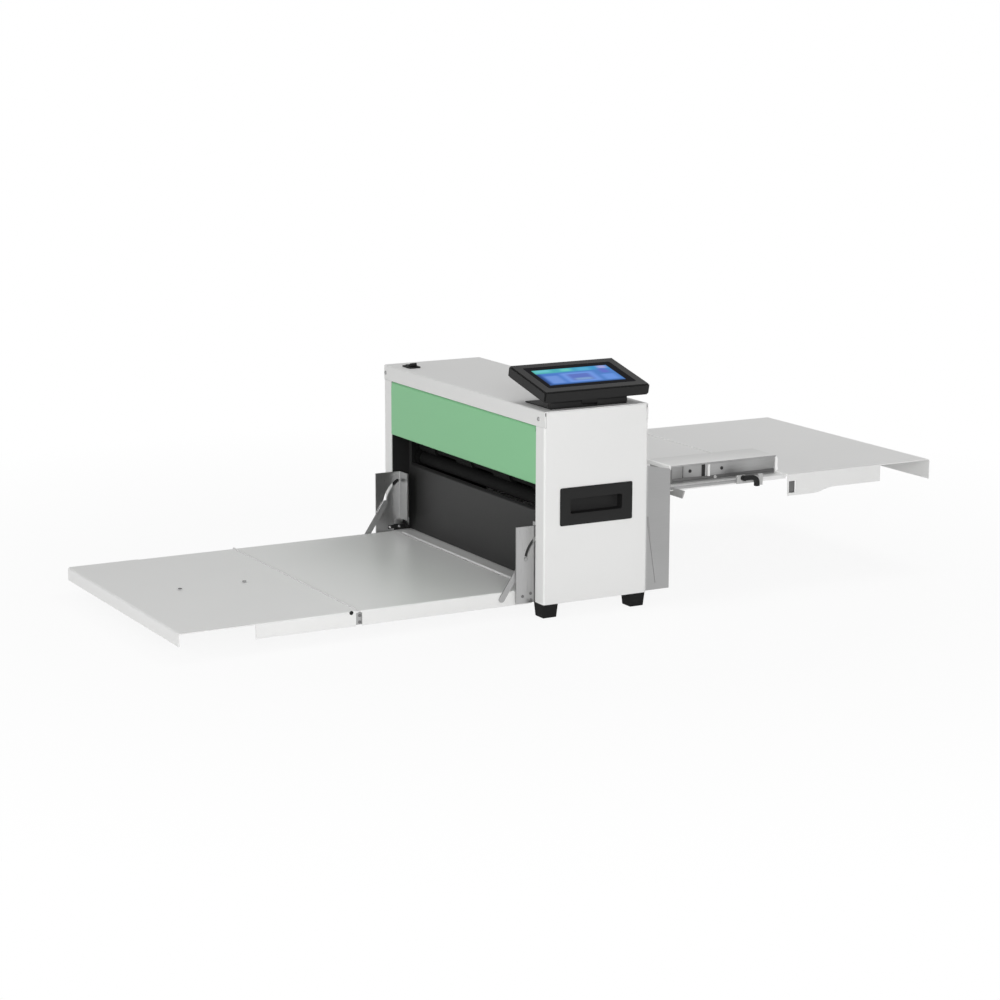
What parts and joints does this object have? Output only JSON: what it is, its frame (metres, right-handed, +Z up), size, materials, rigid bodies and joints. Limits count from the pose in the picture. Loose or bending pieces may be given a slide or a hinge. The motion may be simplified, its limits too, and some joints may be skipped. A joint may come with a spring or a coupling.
{
  "type": "paper creasing machine",
  "caption": "Counter-top paper creasing machine: sheets enter on a high folding table, pass rollers and a cam-driven creasing beam, and leave on a low folding table.",
  "frame": {"origin": "on the floor under the centre of the body, midway between both table ends", "axes": "+X along the body towards the end with the touch screen, -Y towards the low delivery table, +Y towards the high in-feed table, +Z up"},
  "size_m": [0.593, 1.46, 0.4087],
  "materials": {
    "steel": "zinc-plated, satin",
    "rubber": "matt black",
    "white_paint": "fine-textured powder coat, white",
    "green_paint": "satin powder coat, green",
    "table_paint": "fine-textured powder coat, off white",
    "dark_paint": "matt powder coat, near black",
    "bright_steel": "ground",
    "black_plastic": "fine-grained, black",
    "aluminium": "milled",
    "motor_black": "semi-matt black",
    "gear_brass": "machined",
    "board_green": "solder-masked board",
    "screen_glass": "glossy, lit from behind"
  },
  "bodies": {
    "chassis": {"base_pan": "steel", "side_frame_right": "steel", "side_frame_left": "steel", "front_bracket_right": "steel", "front_bracket_left": "steel", "rear_bracket_right": "steel", "rear_bracket_left": "steel", "infeed_support_bar": "steel", "clamp_bracket": "steel", "foot_front_right": "rubber", "foot_front_left": "rubber", "foot_rear_right": "rubber", "foot_rear_left": "rubber", "feed_belt": "rubber", "end_cover_right": "white_paint", "end_cover_left": "white_paint", "top_cover": "white_paint", "rear_cover_upper": "white_paint", "rear_cover_lower": "white_paint", "infeed_table": "table_paint", "delivery_chute": "dark_paint", "front_cover_rod": "bright_steel", "crease_matrix": "bright_steel", "screen_hinge_pin": "bright_steel", "infeed_seam_rod": "bright_steel", "handle_cup_right": "black_plastic", "handle_cup_left": "black_plastic", "power_inlet": "black_plastic", "switch_bezel": "black_plastic", "screen_base": "black_plastic", "crease_bed": "aluminium", "power_supply": "aluminium", "feed_motor": "motor_black", "crease_motor": "motor_black", "control_board": "board_green"},
    "front_cover": {"front_cover": "green_paint"},
    "infeed_drive_roller": {"infeed_roller_lower": "rubber"},
    "infeed_pressure_roller": {"infeed_roller_upper": "rubber"},
    "outfeed_drive_roller": {"outfeed_roller_lower": "rubber"},
    "outfeed_pressure_roller": {"outfeed_roller_upper": "rubber"},
    "motor_pulley": {"feed_pulley": "aluminium"},
    "cam": {"cam_shaft": "bright_steel", "cam_gear": "gear_brass"},
    "motor_pinion": {"crease_pinion": "steel"},
    "beam": {"crease_beam": "aluminium", "crease_blade": "bright_steel"},
    "rocker": {"switch_rocker": "black_plastic"},
    "screen": {"screen_housing": "black_plastic", "screen_glass": "screen_glass"},
    "outfeed_inner": {"outfeed_table": "table_paint", "outfeed_seam_rod": "bright_steel"},
    "outfeed_outer": {"outfeed_extension": "table_paint"},
    "stay_right": {"stay_arm_right": "steel"},
    "stay_left": {"stay_arm_left": "steel"},
    "infeed_outer": {"infeed_extension": "table_paint"},
    "guide": {"side_guide": "steel"},
    "clamp": {"clamp_lever": "black_plastic"}
  },
  "joints": [
    {"name": "front_cover_lift", "type": "hinge", "parent": "chassis", "child": "front_cover", "pos_m": [0, -0.0953, 0.317], "axis": [-1, 0, 0], "range_deg": [0, 75]},
    {"name": "infeed_drive_spin", "type": "hinge", "parent": "chassis", "child": "infeed_drive_roller", "pos_m": [0, 0.06, 0.17985], "axis": [1, 0, 0], "continuous": true},
    {"name": "infeed_pressure_spin", "type": "hinge", "parent": "chassis", "child": "infeed_pressure_roller", "pos_m": [0, 0.06, 0.20415], "axis": [1, 0, 0], "continuous": true},
    {"name": "outfeed_drive_spin", "type": "hinge", "parent": "chassis", "child": "outfeed_drive_roller", "pos_m": [0, -0.045, 0.17985], "axis": [1, 0, 0], "continuous": true},
    {"name": "outfeed_pressure_spin", "type": "hinge", "parent": "chassis", "child": "outfeed_pressure_roller", "pos_m": [0, -0.045, 0.20415], "axis": [1, 0, 0], "continuous": true},
    {"name": "feed_motor_spin", "type": "hinge", "parent": "chassis", "child": "motor_pulley", "pos_m": [-0.268, 0.02, 0.095], "axis": [1, 0, 0], "continuous": true},
    {"name": "cam_turn", "type": "hinge", "parent": "chassis", "child": "cam", "pos_m": [0, 0.01, 0.27], "axis": [1, 0, 0], "range_deg": [0, 180]},
    {"name": "crease_motor_turn", "type": "hinge", "parent": "chassis", "child": "motor_pinion", "pos_m": [0.272, 0.04891, 0.29], "axis": [1, 0, 0], "range_deg": [-392.8, 0]},
    {"name": "beam_press", "type": "slide", "parent": "chassis", "child": "beam", "axis": [0, 0, -1], "range_m": [0, 0.005]},
    {"name": "power_rocker", "type": "hinge", "parent": "chassis", "child": "rocker", "pos_m": [-0.24, -0.072, 0.35005], "axis": [0, 1, 0], "range_deg": [0, 26]},
    {"name": "screen_tilt", "type": "hinge", "parent": "chassis", "child": "screen", "pos_m": [0.276, 0, 0.358], "axis": [0, 1, 0], "range_deg": [-12, 35]},
    {"name": "outfeed_table_fold", "type": "hinge", "parent": "chassis", "child": "outfeed_inner", "pos_m": [0, -0.107, 0.0395], "axis": [-1, 0, 0], "range_deg": [0, 55]},
    {"name": "outfeed_extension_fold", "type": "hinge", "parent": "outfeed_inner", "child": "outfeed_outer", "pos_m": [0, -0.42, 0.045], "axis": [-1, 0, 0], "range_deg": [0, 178]},
    {"name": "stay_turn_right", "type": "hinge", "parent": "outfeed_inner", "child": "stay_right", "pos_m": [0.26, -0.16, 0.0335], "axis": [-1, 0, 0], "range_deg": [-47.2, 0]},
    {"name": "stay_turn_left", "type": "hinge", "parent": "outfeed_inner", "child": "stay_left", "pos_m": [-0.26, -0.16, 0.0335], "axis": [-1, 0, 0], "range_deg": [-47.2, 0]},
    {"name": "infeed_extension_fold", "type": "hinge", "parent": "chassis", "child": "infeed_outer", "pos_m": [0, 0.415, 0.19], "axis": [1, 0, 0], "range_deg": [0, 90]},
    {"name": "side_guide_slide", "type": "slide", "parent": "chassis", "child": "guide", "axis": [-1, 0, 0], "range_m": [-0.02, 0.12]},
    {"name": "clamp_lift", "type": "hinge", "parent": "chassis", "child": "clamp", "pos_m": [0.2566, 0.32, 0.194], "axis": [1, 0, 0], "range_deg": [0, 90]}
  ],
  "couplings": [
    {"joint": "infeed_pressure_spin", "follows": "infeed_drive_spin", "ratio": -1},
    {"joint": "outfeed_drive_spin", "follows": "infeed_drive_spin", "ratio": 1},
    {"joint": "outfeed_pressure_spin", "follows": "infeed_drive_spin", "ratio": -1},
    {"joint": "feed_motor_spin", "follows": "infeed_drive_spin", "ratio": 1.5385},
    {"joint": "beam_press", "follows": "cam_turn", "m_per_rad": 0.0015915},
    {"joint": "crease_motor_turn", "follows": "cam_turn", "ratio": -2.1818},
    {"joint": "stay_turn_right", "follows": "outfeed_table_fold", "ratio": -0.857},
    {"joint": "stay_turn_left", "follows": "outfeed_table_fold", "ratio": -0.857}
  ]
}
